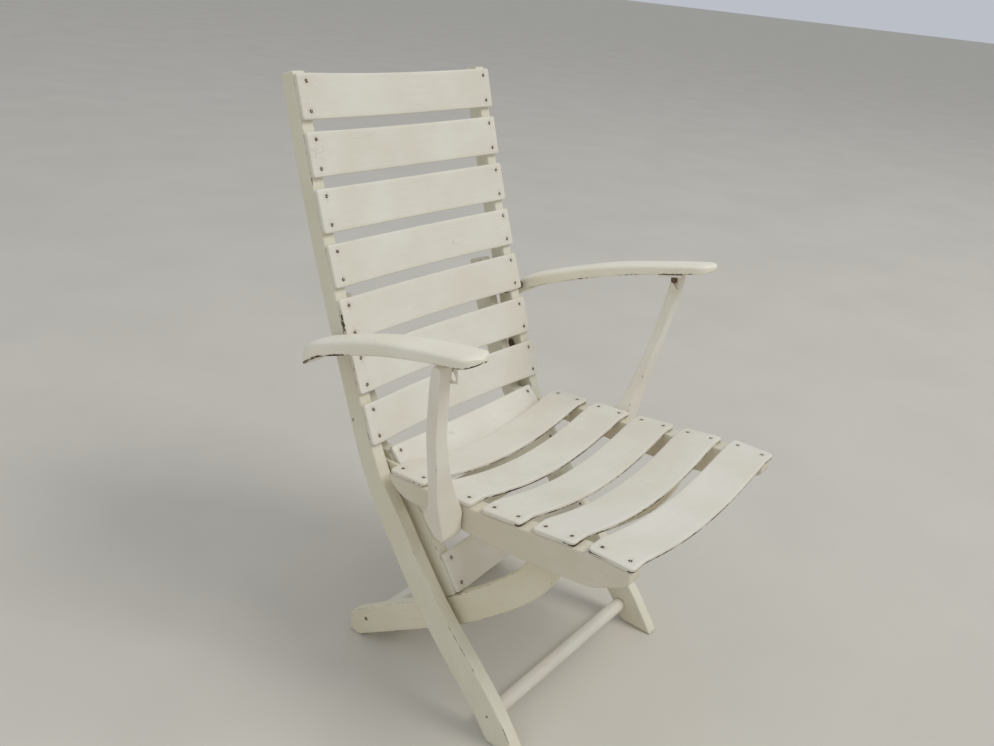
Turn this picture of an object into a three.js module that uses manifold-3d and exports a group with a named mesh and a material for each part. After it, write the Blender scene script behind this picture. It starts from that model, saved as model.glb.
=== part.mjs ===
// Steamer deck chair: slatted folding chair with a high back, arms and two crossing leg frames.
// Units are millimetres, +Z is up and the sitter faces -Y. The floor is Z = 0.
import * as THREE from 'three';
import { mergeVertices } from 'three/addons/utils/BufferGeometryUtils.js';
import Module from 'manifold-3d';

// Overall height of the back boards. Every outline seen from the side is a share of it.
const frameHeight = 985;

// Layers across the chair, each measured from the one inside it. The innermost starts at legInnerX.
const legInnerX = 168;
const legThickness = 22;
const legToRail = 8;
const railThickness = 33;
const legToBoard = 11;
const boardThickness = 24;
const slatOverhang = 1;
const contactGap = 0.3;

// Slats: bent strips that lie on the front edges of the boards.
const slatThickness = 8;
const backSlatWidth = 68;
const backSlatPitch = 85.4;
const backSlatTopMargin = 39;
const backSlatBow = 22;
const backSlatCount = 7;
const seatSlatWidth = 72;
const seatSlatPitch = 92.4;
const seatSlatRearMargin = 38;
const seatSlatBow = 26;
const seatSlatCount = 5;
const lowSlatPitch = 96;
const lowSlatTopMargin = 296;
const lowSlatBow = 18;
const lowSlatCount = 3;
const bowPower = 1.12;
const bowSteps = 16;
const edgeSteps = 36;
const liftSteps = 8;

// Front edge of the outer board as shares of the height: back, up and depth of the board.
const backBoardShares = [
  [-0.034, -0.046, 0.051], [0.0447, 0.0609, 0.053], [0.0985, 0.1168, 0.054], [0.190, 0.205, 0.051],
  [0.283, 0.322, 0.047], [0.339, 0.396, 0.038], [0.390, 0.512, 0.034], [0.453, 0.670, 0.031],
  [0.511, 0.8376, 0.030], [0.557, 0.990, 0.0285],
];
// Front edge of the inner stile, which carries the low slats.
const innerStileShares = [
  [0.172, 0.192, 0.039], [0.202, 0.2396, 0.039], [0.257, 0.311, 0.039], [0.317, 0.380, 0.039],
  [0.349, 0.414, 0.047], [0.405, 0.489, 0.039], [0.4475, 0.579, 0.037], [0.473, 0.650, 0.034],
];
// Top edge of the rear leg from the seat rail back and down to the floor.
const rearLegShares = [
  [0.034, 0.425, 0.052], [0.053, 0.345, 0.052], [0.104, 0.280, 0.051], [0.204, 0.193, 0.051],
  [0.336, 0.104, 0.052], [0.416, 0.046, 0.048], [0.467, 0.004, 0.046],
];
// Cut in the inner stile's front edge that the lowest back slat swings through.
const stileReliefShares = [
  [0.330, 0.4105], [0.3755, 0.4105], [0.3765, 0.4365], [0.386, 0.454], [0.372, 0.463], [0.322, 0.445],
];
const rearLegHeelShare = 0.4235;
const rearLegTopShare = 0.404;
// Top edge of the seat rail from its front end to its rear tip, with its depth.
const seatRailShares = [
  [-0.137, 0.443, 0.020], [-0.08, 0.4425, 0.052], [0.0, 0.4325, 0.053], [0.101, 0.4195, 0.048],
  [0.203, 0.411, 0.038], [0.273, 0.406, 0.034], [0.308, 0.404, 0.009],
];
// Top face of the armrest from its front tip to its tail, with its thickness.
const armrestShares = [
  [0.057, 0.719, 0.0155], [0.157, 0.6985, 0.0180], [0.267, 0.671, 0.0225], [0.390, 0.6265, 0.0245],
  [0.4325, 0.6062, 0.027], [0.474, 0.5725, 0.024],
];

// Pivots seen from the side, as shares of the height.
const backPivotShare = [0.3675, 0.4335];
const armPivotShare = [0.4335, 0.5915];
const supportPivotShare = [0.1645, 0.398];
const slidePinSetback = 86;
const slidePinDrop = 13;

// Stretchers and blocks between the boards.
const dowelDiameter = 25;
const dowelShare = [0.076, 0.033];
const rearStretcherShare = [0.381, 0.037];
const rearStretcherDepth = 46;
const rearStretcherThickness = 20;
const rearStretcherTilt = 0.6;
const stopRailDepth = 34;
const stopRailThickness = 20;
const stopRailClearance = 0.6;
const stopSlatsDown = 4;
const spacerLength = 56;
const spacerHeight = 20;
const spacerShare = [0.018, 0.393];

// Armrest seen from above, and the curved support under it.
const armrestHalfWidth = 28;
const boardToArmrest = 19;
const armrestSplay = 53;
const armrestFrontY = 67;
const armrestRearY = 445;
const armrestCornerRadius = 25;
const supportDepth = 18;
const railToSupport = 2;
const supportTopStandOff = 12;
// Support seen from the front: height along it as shares of its reach, then inner and outer X
// as shares of the way from the seat rail out to its outer X at the top.
const supportShares = [
  [-0.24, 0, 0.27], [-0.114, 0, 0.371], [0, 0, 0.47], [0.037, 0, 0.503], [0.066, 0.035, 0.526],
  [0.14, 0.135, 0.577], [0.35, 0.40, 0.70], [0.62, 0.635, 0.875], [0.83, 0.71, 0.95],
  [0.93, 0.758, 0.98], [1.08, 0.761, 1],
];
// Support's foot seen from the side: its front stands upright and it is cut off flat below.
const supportFootShares = [
  [0.1492, 0.3665], [0.166, 0.3665], [0.186, 0.402], [0.181, 0.418], [0.168, 0.436], [0.156, 0.475],
  [0.1492, 0.493],
];
const supportFootRadius = 5;

// Metal fittings.
const boltDiameter = 8;
const boltHeadDiameter = 16;
const boltHeadThickness = 4;
const boltInWood = 30;
const holeClearance = 0.6;
const pivotPlateThickness = 2.4;
const pivotPlateWidth = 12;
const pivotPlateEndShare = [0.4071, 0.4883];
const pivotPinDiameter = 6;
const bracketShares = [
  [0.3716, 0.4437], [0.3624, 0.4396], [0.3629, 0.430], [0.369, 0.4255], [0.3765, 0.421],
  [0.3755, 0.4041], [0.3452, 0.399], [0.2467, 0.399], [0.2467, 0.3817], [0.3046, 0.3716],
  [0.3553, 0.3553], [0.3909, 0.3909], [0.401, 0.4213], [0.3909, 0.4416],
];
const bracketCornerRadius = 2;
const slidePinDiameter = 6;
const slidePlateThickness = 3;
const slidePlateLength = 44;
const slidePlateDrop = 33;
const slideTongueLength = 20;
const slideTongueLead = 3;
const slideFlangeWidth = 26;
const slidePlateGap = 0.8;
const slideSideGap = 1.2;
const slideSlotLength = 14.4;
const slideSlotAngle = 0.93;
const slotClearance = 4.0;
const slidePinHeadDiameter = 12;
const slidePinHeadThickness = 2.4;
const slidePinInWood = 12;
const roundSegments = 28;
const curveSegments = 8;

const materials = {
  paint: { color: 0xe6e0cf, roughness: 0.45, metalness: 0 },
  paintedSteel: { color: 0xe6e0cf, roughness: 0.5, metalness: 0 },
  steel: { color: 0x4a3a30, roughness: 0.6, metalness: 0.8 },
};

const wasm = await Module();
wasm.setup();

const chair = new THREE.Group();
chair.name = 'steamer_deck_chair';

function addPiece(name, geometry, finish) {
  const mesh = new THREE.Mesh(geometry, new THREE.MeshStandardMaterial(materials[finish]));
  mesh.name = name;
  mesh.material.name = finish;
  chair.add(mesh);
}

// Turns a share pair into a point seen from the side: x is the chair's Y and y is its Z.
function sidePoint(share) {
  return new THREE.Vector2(share[0] * frameHeight, share[1] * frameHeight);
}

function sideLine(shares) {
  return new THREE.SplineCurve(shares.map(sidePoint));
}

// Position, direction and the normal on the left of the direction at a distance along a line.
function lineFrame(line, distance) {
  const share = THREE.MathUtils.clamp(distance / line.getLength(), 0, 1);
  const at = line.getPointAt(share);
  const along = line.getTangentAt(share);
  return { at, along, left: new THREE.Vector2(-along.y, along.x) };
}

// Depth of a board at a share of its line, read between the rows of its table.
function depthAt(shares, line, share) {
  const t = line.getUtoTmapping(share) * (shares.length - 1);
  const row = Math.min(Math.floor(t), shares.length - 2);
  return THREE.MathUtils.lerp(shares[row][2], shares[row + 1][2], t - row) * frameHeight;
}

// Outline of a board: its line on one side and the same line moved right by the depth.
function boardPoints(shares, growth = 0) {
  const line = sideLine(shares);
  const leftSide = [];
  const rightSide = [];
  for (let step = 0; step <= edgeSteps; step += 1) {
    const share = step / edgeSteps;
    const { at, left } = lineFrame(line, share * line.getLength());
    leftSide.unshift(at.clone().addScaledVector(left, growth));
    rightSide.push(at.clone().addScaledVector(left, -depthAt(shares, line, share) - growth));
  }
  return rightSide.concat(leftSide);
}

// Cuts an outline with a straight line: keeps what lies on the side that the normal points to.
function keepSide(points, origin, normal) {
  const kept = [];
  points.forEach((point, index) => {
    const next = points[(index + 1) % points.length];
    const here = point.clone().sub(origin).dot(normal);
    const there = next.clone().sub(origin).dot(normal);
    if (here >= 0) kept.push(point);
    if (here * there < 0) kept.push(point.clone().lerp(next, here / (here - there)));
  });
  return kept;
}

// Outline with rounded corners.
function roundedShape(points, radius) {
  const shape = new THREE.Shape();
  points.forEach((corner, index) => {
    const before = points[(index + points.length - 1) % points.length];
    const after = points[(index + 1) % points.length];
    const start = corner.clone().add(before.clone().sub(corner).setLength(radius));
    const end = corner.clone().add(after.clone().sub(corner).setLength(radius));
    if (index === 0) shape.moveTo(start.x, start.y);
    else shape.lineTo(start.x, start.y);
    shape.quadraticCurveTo(corner.x, corner.y, end.x, end.y);
  });
  shape.closePath();
  return shape;
}

// Extrudes a side view along X from fromX to toX.
const sideToChair = new THREE.Matrix4().set(0, 0, 1, 0, 1, 0, 0, 0, 0, 1, 0, 0, 0, 0, 0, 1);
function extrudeSide(shape, fromX, toX) {
  const depth = Math.abs(toX - fromX);
  const solid = new THREE.ExtrudeGeometry(shape, { depth, bevelEnabled: false, curveSegments });
  return solid.applyMatrix4(sideToChair).translate(Math.min(fromX, toX), 0, 0);
}

function addHole(shape, centre, diameter) {
  const hole = new THREE.Path();
  hole.absarc(centre.x, centre.y, diameter / 2, 0, Math.PI * 2, true);
  shape.holes.push(hole);
}

// Round bar along X at a point seen from the side.
function barAlongX(centre, diameter, fromX, toX) {
  const length = Math.abs(toX - fromX);
  const bar = new THREE.CylinderGeometry(diameter / 2, diameter / 2, length, roundSegments);
  return bar.rotateZ(Math.PI / 2).translate((fromX + toX) / 2, centre.x, centre.y);
}

// Rectangular bar along X, turned in the side view so that its depth runs along the direction.
function blockAlongX(centre, along, depth, thickness, fromX, toX) {
  const block = new THREE.BoxGeometry(Math.abs(toX - fromX), depth, thickness);
  return block.rotateX(Math.atan2(along.y, along.x)).translate((fromX + toX) / 2, centre.x, centre.y);
}

function toSolid(geometry) {
  const bare = geometry.clone();
  bare.deleteAttribute('normal');
  bare.deleteAttribute('uv');
  const merged = mergeVertices(bare);
  return new wasm.Manifold(new wasm.Mesh({
    numProp: 3,
    vertProperties: new Float32Array(merged.attributes.position.array),
    triVerts: new Uint32Array(merged.index.array),
  }));
}

function fromSolid(solid) {
  const mesh = solid.getMesh();
  const geometry = new THREE.BufferGeometry();
  geometry.setAttribute('position', new THREE.BufferAttribute(mesh.vertProperties, 3));
  geometry.setIndex(new THREE.BufferAttribute(mesh.triVerts, 1));
  const flat = geometry.toNonIndexed();
  flat.computeVertexNormals();
  return flat;
}

// Bow of a slat: flat over the boards and hollow between them.
function bowAt(x, bow, span) {
  const share = Math.min(Math.abs(x) / span, 1);
  return -bow * Math.pow(1 - share * share, bowPower);
}

// Bent slat that lies on an edge: the normal points away from the board that carries it.
function slatOnEdge(frame, lift, width, half, bow, span) {
  const shape = new THREE.Shape();
  const xs = [-half];
  for (let step = 0; step <= bowSteps; step += 1) xs.push(span * (2 * step / bowSteps - 1));
  xs.push(half);
  xs.forEach((x, index) => {
    const height = bowAt(x, bow, span);
    if (index === 0) shape.moveTo(x, height);
    else shape.lineTo(x, height);
  });
  xs.reverse().forEach((x) => shape.lineTo(x, bowAt(x, bow, span) + slatThickness));
  const slat = new THREE.ExtrudeGeometry(shape, { depth: width, bevelEnabled: false });
  const across = new THREE.Vector3(1, 0, 0);
  const out = new THREE.Vector3(0, frame.left.x, frame.left.y);
  const basis = new THREE.Matrix4().makeBasis(across, out, across.clone().cross(out));
  slat.translate(0, lift, -width / 2).applyMatrix4(basis);
  return slat.translate(0, frame.at.x, frame.at.y);
}

// Distance from a straight slat's middle out to where a hollow or humped edge first touches it.
function liftOver(line, distance, width) {
  const middle = lineFrame(line, distance);
  let lift = 0;
  for (let step = 0; step <= liftSteps; step += 1) {
    const { at } = lineFrame(line, distance + width * (step / liftSteps - 1 / 2));
    lift = Math.max(lift, at.clone().sub(middle.at).dot(middle.left));
  }
  return lift + contactGap;
}

function addSlatRow(prefix, first, count, line, margin, pitch, width, half, bow, span) {
  for (let index = 0; index < count; index += 1) {
    const distance = line.getLength() - margin - pitch * index;
    const lift = liftOver(line, distance, width);
    const slat = slatOnEdge(lineFrame(line, distance), lift, width, half, bow, span);
    addPiece(`${prefix}_${first + index}`, slat, 'paint');
  }
}

const floorPoint = new THREE.Vector2(0, 0);
const upward = new THREE.Vector2(0, 1);
const downward = new THREE.Vector2(0, -1);
const forward = new THREE.Vector2(-1, 0);
const backPivot = sidePoint(backPivotShare);
const armPivot = sidePoint(armPivotShare);
const supportPivot = sidePoint(supportPivotShare);
const legOuterX = legInnerX + legThickness;
const railInnerX = legOuterX + legToRail;
const railOuterX = railInnerX + railThickness;
const boardInnerX = legOuterX + legToBoard;
const boardOuterX = boardInnerX + boardThickness;
const armrestRearX = boardOuterX + boardToArmrest + armrestHalfWidth;
const armrestFrontX = armrestRearX + armrestSplay;
const supportFootX = railOuterX + railToSupport;
const supportTopX = armrestFrontX + supportTopStandOff;
const sides = [['left', 1], ['right', -1]];

// Back frame: two long boards that are back stiles above the seat and front legs below it.
const boardLine = sideLine(backBoardShares);
sides.forEach(([side, sign]) => {
  const outline = new THREE.Shape(keepSide(boardPoints(backBoardShares), floorPoint, upward));
  addHole(outline, armPivot, boltDiameter + holeClearance);
  addPiece(`outer_board_${side}`, extrudeSide(outline, sign * boardInnerX, sign * boardOuterX), 'paint');
});
addSlatRow('back_slat', 1, backSlatCount, boardLine, backSlatTopMargin, backSlatPitch,
  backSlatWidth, boardOuterX + slatOverhang, backSlatBow, boardInnerX);
const dowelEnd = boardInnerX - contactGap;
addPiece('front_stretcher', barAlongX(sidePoint(dowelShare), dowelDiameter, -dowelEnd, dowelEnd), 'paint');

// Seat frame: rear legs, inner stiles that stand on them, seat rails and the slats of both.
const legOutline = keepSide(keepSide(keepSide(boardPoints(rearLegShares), floorPoint, upward),
  sidePoint([0, rearLegTopShare]), downward), sidePoint([rearLegHeelShare, 0]), forward);
const legRoom = toSolid(extrudeSide(new THREE.Shape(boardPoints(rearLegShares, contactGap)),
  -legOuterX, legOuterX));
const stileRelief = toSolid(extrudeSide(roundedShape(stileReliefShares.map(sidePoint), bracketCornerRadius),
  -legOuterX, legOuterX));
sides.forEach(([side, sign]) => {
  const leg = extrudeSide(new THREE.Shape(legOutline), sign * legInnerX, sign * legOuterX);
  addPiece(`rear_leg_${side}`, leg, 'paint');
  const stileOutline = new THREE.Shape(boardPoints(innerStileShares));
  const stile = extrudeSide(stileOutline, sign * legInnerX, sign * legOuterX);
  addPiece(`inner_stile_${side}`, fromSolid(toSolid(stile).subtract(legRoom).subtract(stileRelief)), 'paint');
  const railOutline = new THREE.Shape(boardPoints(seatRailShares));
  addHole(railOutline, supportPivot, boltDiameter + holeClearance);
  addPiece(`seat_rail_${side}`, extrudeSide(railOutline, sign * railInnerX, sign * railOuterX), 'paint');
  const spacer = blockAlongX(sidePoint(spacerShare), new THREE.Vector2(1, 0), spacerLength, spacerHeight,
    sign * (legOuterX + contactGap), sign * (railInnerX - contactGap));
  addPiece(`rail_spacer_${side}`, spacer, 'paint');
});
addSlatRow('seat_slat', 1, seatSlatCount, sideLine(seatRailShares), seatSlatRearMargin, seatSlatPitch,
  seatSlatWidth, railOuterX + slatOverhang, seatSlatBow, railInnerX);
addSlatRow('low_slat', backSlatCount + 1, lowSlatCount, sideLine(innerStileShares), lowSlatTopMargin,
  lowSlatPitch, backSlatWidth, legOuterX - contactGap, lowSlatBow, legInnerX);
const crossEnd = legInnerX - contactGap;
const legSlope = new THREE.Vector2(Math.cos(rearStretcherTilt), -Math.sin(rearStretcherTilt));
addPiece('rear_stretcher', blockAlongX(sidePoint(rearStretcherShare), legSlope, rearStretcherDepth,
  rearStretcherThickness, -crossEnd, crossEnd), 'paint');
const stopDistance = boardLine.getLength() - backSlatTopMargin - backSlatPitch * stopSlatsDown;
const stopFrame = lineFrame(boardLine, stopDistance);
const stopCentre = stopFrame.at.clone().addScaledVector(stopFrame.left,
  -backSlatBow - stopRailClearance - stopRailThickness / 2);
addPiece('stop_rail', blockAlongX(stopCentre, stopFrame.along, stopRailDepth, stopRailThickness,
  -crossEnd, crossEnd), 'paint');

// Slot with round ends between two points seen from the side.
function stadium(from, to, width) {
  const shape = new THREE.Shape();
  const turn = Math.atan2(to.y - from.y, to.x - from.x);
  shape.absarc(to.x, to.y, width / 2, turn - Math.PI / 2, turn + Math.PI / 2, false);
  shape.absarc(from.x, from.y, width / 2, turn + Math.PI / 2, turn + Math.PI * 3 / 2, false);
  shape.closePath();
  return shape;
}

// Pivot of the back: a plate with a stub pin on each outer board, in a bracket that also ties the
// seat rail to the inner stile.
const plateFar = sidePoint(pivotPlateEndShare);
sides.forEach(([side, sign]) => {
  const bracket = roundedShape(bracketShares.map(sidePoint), bracketCornerRadius);
  addHole(bracket, backPivot, pivotPinDiameter + holeClearance);
  addPiece(`pivot_bracket_${side}`, extrudeSide(bracket, sign * (legOuterX + contactGap),
    sign * (railInnerX - contactGap)), 'paintedSteel');
  const plateOuterX = boardInnerX - contactGap;
  const plate = extrudeSide(stadium(backPivot, plateFar, pivotPlateWidth),
    sign * (plateOuterX - pivotPlateThickness), sign * plateOuterX);
  const pin = barAlongX(backPivot, pivotPinDiameter, sign * (legOuterX + contactGap), sign * plateOuterX);
  addPiece(`pivot_plate_${side}`, fromSolid(toSolid(plate).add(toSolid(pin))), 'steel');
});

// Arms: a curved armrest pivoted on the outer board and held up by a curved support.
function supportX(share) {
  return THREE.MathUtils.lerp(supportFootX, supportTopX, share);
}

const armrestLine = sideLine(armrestShares);
const slideFrame = lineFrame(armrestLine, slidePinSetback);
const undersideDrop = depthAt(armrestShares, armrestLine, slidePinSetback / armrestLine.getLength());
const underside = slideFrame.at.clone().addScaledVector(slideFrame.left, -undersideDrop);
const slidePin = underside.clone().addScaledVector(slideFrame.left, -slidePinDrop);
const supportUp = slidePin.clone().sub(supportPivot).normalize();
const supportReach = slidePin.distanceTo(supportPivot);
const armBoltTipX = armrestRearX;
const supportBoltTipX = railOuterX + boltInWood;
const armrestTailX = armrestRearX - armrestHalfWidth;
const supportTopInnerX = supportX(supportShares[supportShares.length - 1][1]);
const slidePinTipX = supportTopInnerX + slidePinInWood;

// Headed bolt along X: a shank and its rings, each a diameter and where it starts and ends.
function boltSolid(centre, diameter, fromX, toX, rings) {
  let bolt = toSolid(barAlongX(centre, diameter, fromX, toX));
  rings.forEach(([ringDiameter, ringFrom, ringTo]) => {
    bolt = bolt.add(toSolid(barAlongX(centre, ringDiameter, ringFrom, ringTo)));
  });
  return fromSolid(bolt);
}

function armrestSolid(sign) {
  const corners = [
    [armrestFrontX - armrestHalfWidth, armrestFrontY], [armrestFrontX + armrestHalfWidth, armrestFrontY],
    [armrestRearX + armrestHalfWidth, armrestRearY], [armrestRearX - armrestHalfWidth, armrestRearY],
  ].map(([x, y]) => new THREE.Vector2(sign * x, y));
  const plan = roundedShape(corners, armrestCornerRadius);
  const prism = new THREE.ExtrudeGeometry(plan, { depth: frameHeight, bevelEnabled: false, curveSegments });
  const band = extrudeSide(new THREE.Shape(boardPoints(armrestShares)), 0, sign * frameHeight);
  const hole = barAlongX(armPivot, boltDiameter + holeClearance, 0, sign * (armBoltTipX + contactGap));
  return fromSolid(toSolid(band).intersect(toSolid(prism)).subtract(toSolid(hole)));
}

// Support: its front view cut out of its side view, a bar with a round top end and a foot.
function supportSolid(sign) {
  const edge = (column) => new THREE.SplineCurve(supportShares.map(
    (row) => new THREE.Vector2(sign * supportX(row[column]), row[0] * supportReach)));
  const outline = edge(1).getPoints(edgeSteps).concat(edge(2).getPoints(edgeSteps).reverse());
  const front = new THREE.ExtrudeGeometry(new THREE.Shape(outline),
    { depth: supportReach, bevelEnabled: false });
  const across = new THREE.Vector3(1, 0, 0);
  const up = new THREE.Vector3(0, supportUp.x, supportUp.y);
  const basis = new THREE.Matrix4().makeBasis(across, up, across.clone().cross(up));
  front.translate(0, 0, -supportReach / 2).applyMatrix4(basis);
  front.translate(0, supportPivot.x, supportPivot.y);
  const bar = extrudeSide(stadium(supportPivot, slidePin, supportDepth), 0, sign * frameHeight);
  const foot = extrudeSide(roundedShape(supportFootShares.map(sidePoint), supportFootRadius),
    0, sign * frameHeight);
  const pivotHole = barAlongX(supportPivot, boltDiameter + holeClearance, 0,
    sign * (supportBoltTipX + contactGap));
  const pinHole = barAlongX(slidePin, slidePinDiameter + holeClearance, 0,
    sign * (slidePinTipX + contactGap));
  return fromSolid(toSolid(bar).add(toSolid(foot)).intersect(toSolid(front))
    .subtract(toSolid(pivotHole)).subtract(toSolid(pinHole)));
}

// Plate screwed under the armrest: its tongue has the slot that the support's pin slides in.
function slidePlateSolid(sign, tongueOuterX) {
  const flangeCentre = underside.clone().addScaledVector(slideFrame.left,
    -slidePlateThickness / 2 - slidePlateGap);
  const flange = blockAlongX(flangeCentre, slideFrame.along, slidePlateLength, slidePlateThickness,
    sign * (tongueOuterX - slideFlangeWidth), sign * tongueOuterX);
  const tongueCentre = underside.clone().addScaledVector(slideFrame.left, -slidePlateDrop / 2 - slidePlateGap)
    .addScaledVector(slideFrame.along, -slideTongueLead);
  const tongue = blockAlongX(tongueCentre, slideFrame.along, slideTongueLength, slidePlateDrop,
    sign * (tongueOuterX - slidePlateThickness), sign * tongueOuterX);
  const slotWay = new THREE.Vector2(-Math.cos(slideSlotAngle), -Math.sin(slideSlotAngle));
  const slotEnd = slidePin.clone().addScaledVector(slotWay, slideSlotLength);
  const slotOutline = stadium(slotEnd, slidePin, slidePinDiameter + slotClearance);
  const slot = extrudeSide(slotOutline, 0, sign * frameHeight);
  return fromSolid(toSolid(flange).add(toSolid(tongue)).subtract(toSolid(slot)));
}

sides.forEach(([side, sign]) => {
  addPiece(`armrest_${side}`, armrestSolid(sign), 'paint');
  addPiece(`arm_support_${side}`, supportSolid(sign), 'paint');
  const armHeadX = boardInnerX - contactGap;
  addPiece(`arm_bolt_${side}`, boltSolid(armPivot, boltDiameter, sign * (armHeadX - boltHeadThickness),
    sign * armBoltTipX, [
      [boltHeadDiameter, sign * (armHeadX - boltHeadThickness), sign * armHeadX],
      [boltHeadDiameter, sign * (boardOuterX + contactGap), sign * (armrestTailX - contactGap)],
    ]), 'steel');
  const supportHeadX = railInnerX - contactGap;
  addPiece(`support_bolt_${side}`, boltSolid(supportPivot, boltDiameter,
    sign * (supportHeadX - boltHeadThickness), sign * supportBoltTipX, [
      [boltHeadDiameter, sign * (supportHeadX - boltHeadThickness), sign * supportHeadX],
    ]), 'steel');
  const tongueOuterX = supportTopInnerX - slideSideGap;
  addPiece(`slide_plate_${side}`, slidePlateSolid(sign, tongueOuterX), 'paintedSteel');
  const pinHeadX = tongueOuterX - slidePlateThickness - contactGap;
  addPiece(`slide_pin_${side}`, boltSolid(slidePin, slidePinDiameter,
    sign * (pinHeadX - slidePinHeadThickness), sign * slidePinTipX, [
      [slidePinHeadDiameter, sign * (pinHeadX - slidePinHeadThickness), sign * pinHeadX],
    ]), 'steel');
});

// The origin is in the middle of the footprint.
const bounds = new THREE.Box3().setFromObject(chair);
const middleY = (bounds.min.y + bounds.max.y) / 2;
chair.children.forEach((mesh) => mesh.geometry.translate(0, -middleY, 0));

export default chair;
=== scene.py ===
"""Steamer deck chair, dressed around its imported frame.

Metres, +Z up, the sitter faces -Y. The boards, slats, arms and fittings are rebuilt as rounded
surfaces on the frame's own nodes, and painted with worn cream gloss over dark wood.
"""

import logging
import math
from dataclasses import dataclass
from enum import Enum
from typing import Sequence

import bmesh
import bpy
import numpy as np
from mathutils import Matrix, Vector


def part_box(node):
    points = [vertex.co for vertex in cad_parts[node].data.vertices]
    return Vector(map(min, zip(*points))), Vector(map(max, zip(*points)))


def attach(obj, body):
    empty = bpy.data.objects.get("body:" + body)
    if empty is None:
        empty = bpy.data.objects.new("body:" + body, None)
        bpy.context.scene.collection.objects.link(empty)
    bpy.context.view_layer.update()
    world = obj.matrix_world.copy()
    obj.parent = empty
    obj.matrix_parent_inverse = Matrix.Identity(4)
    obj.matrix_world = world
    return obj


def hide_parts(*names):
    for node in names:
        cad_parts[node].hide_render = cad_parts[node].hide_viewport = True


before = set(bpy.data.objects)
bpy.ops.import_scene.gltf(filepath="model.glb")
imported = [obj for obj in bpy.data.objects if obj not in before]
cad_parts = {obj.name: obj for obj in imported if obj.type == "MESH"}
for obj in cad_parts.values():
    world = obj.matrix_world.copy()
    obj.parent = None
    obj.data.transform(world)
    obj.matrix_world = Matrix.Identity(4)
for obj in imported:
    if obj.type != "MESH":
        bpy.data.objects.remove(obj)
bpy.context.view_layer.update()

log = logging.getLogger("deck_chair")
Vec3 = tuple[float, float, float]
Pair = tuple[float, float]
Piece = bpy.types.Object
Material = bpy.types.Material
Socket = bpy.types.NodeSocket

MM = 0.001
ACROSS, REARWARD, UPWARD = Vector((1, 0, 0)), Vector((0, 1, 0)), Vector((0, 0, 1))
PAINTED, STEEL, PAINTED_STEEL = "painted_wood", "steel", "painted_steel"
EDGE, SCREW = "edge", "screw"
VECTOR, FLOAT = "NodeSocketVector", "NodeSocketFloat"
MIX_SHARE, MIX_FIRST, MIX_SECOND, MIX_RESULT = 0, 6, 7, 2

FLAT_GAP = 0.02 * MM
SECTION_GAP = 0.1 * MM
TOP_GAP = 1e-6
LEAST_ALONG = 1e-7
LEAST_SPAN = 1e-9
LEAST_OUTLINE_POINTS = 24
SMOOTHING_STEPS = 420
SMOOTHING_REACH = 2.5


class Side(Enum):
    """The two sides of the chair, with the sign of their X."""

    LEFT = 1
    RIGHT = -1

    @property
    def word(self) -> str:
        """The side's name, as the nodes spell it."""
        return self.name.lower()


class Axis(Enum):
    """Way of a piece's grain: degrees that it rises from +Y in the side view, or None along X."""

    ALONG_X = None
    ALONG_Y = 0.0
    BACK_BOARD = 68.0
    SUPPORT = 97.0
    REAR_LEG = -40.0

    @property
    def turn(self) -> Vec3:
        """Rotation that brings the grain onto X: about X down to the floor, then about Z.

        Returns:
            Its angles about X, Y and Z.
        """
        if self.value is None:
            return (0.0, 0.0, 0.0)
        return (math.radians(-self.value), 0.0, math.radians(-90.0))


# Mesh helpers.


def make_mesh(
    name: str, points: np.ndarray, faces: Sequence[Sequence[int]], flat_last: int = 0
) -> Piece:
    """Puts points and faces into a new object at the origin.

    Args:
        name: the piece's name.
        points: N x 3 places in metres.
        faces: index lists.
        flat_last: how many of the last faces are shaded flat.

    Returns:
        The linked object.
    """
    mesh = bpy.data.meshes.new(name)
    mesh.from_pydata(points.tolist(), [], faces)
    count = len(mesh.polygons)
    mesh.polygons.foreach_set("use_smooth", np.arange(count) < count - flat_last)
    mesh.update()
    piece = bpy.data.objects.new(name, mesh)
    bpy.context.scene.collection.objects.link(piece)
    return piece


def set_attribute(piece: Piece, name: str, values: np.ndarray) -> None:
    """Stores one number per vertex under a name that the finishes read."""
    layer = piece.data.attributes.new(name, "FLOAT", "POINT")
    layer.data.foreach_set("value", values.astype(np.float32).ravel())


def ring_faces(rings: int, around: int) -> list[list[int]]:
    """Quads between neighbouring rings of a tube, and one cap at each end.

    Args:
        rings: how many rings follow each other.
        around: points in each ring.

    Returns:
        Quads first, then the two caps.
    """
    ring, spot = np.meshgrid(np.arange(rings - 1), np.arange(around), indexing="ij")
    here, after = ring * around + spot, ring * around + (spot + 1) % around
    quads = np.stack([here, after, after + around, here + around], axis=-1).reshape(-1, 4)
    first_cap = list(range(around))[::-1]
    last_cap = list(range((rings - 1) * around, rings * around))
    return quads.tolist() + [first_cap, last_cap]


def face_outwards(piece: Piece) -> None:
    """Turns every face of a closed piece outwards.

    Args:
        piece: the piece.
    """
    work = bmesh.new()
    work.from_mesh(piece.data)
    bmesh.ops.recalc_face_normals(work, faces=work.faces)
    work.to_mesh(piece.data)
    work.free()


def ring_piece(name: str, rings: np.ndarray, edge: np.ndarray, flat_last: int = 0) -> Piece:
    """Closed piece through rings of points, with its edge mask as an attribute.

    Args:
        name: the piece's name.
        rings: places, as rings x points x 3.
        edge: the edge mask, one value per point.
        flat_last: how many of its end caps are shaded flat.

    Returns:
        The linked object.
    """
    piece = make_mesh(name, rings.reshape(-1, 3), ring_faces(*rings.shape[:2]), flat_last)
    set_attribute(piece, EDGE, edge)
    face_outwards(piece)
    return piece


def along_x(xs: np.ndarray, side: np.ndarray) -> np.ndarray:
    """Rings at places along X, from the (Y, Z) points of each ring."""
    return np.concatenate([np.broadcast_to(xs[:, None, None], (*side.shape[:2], 1)), side], axis=2)


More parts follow.
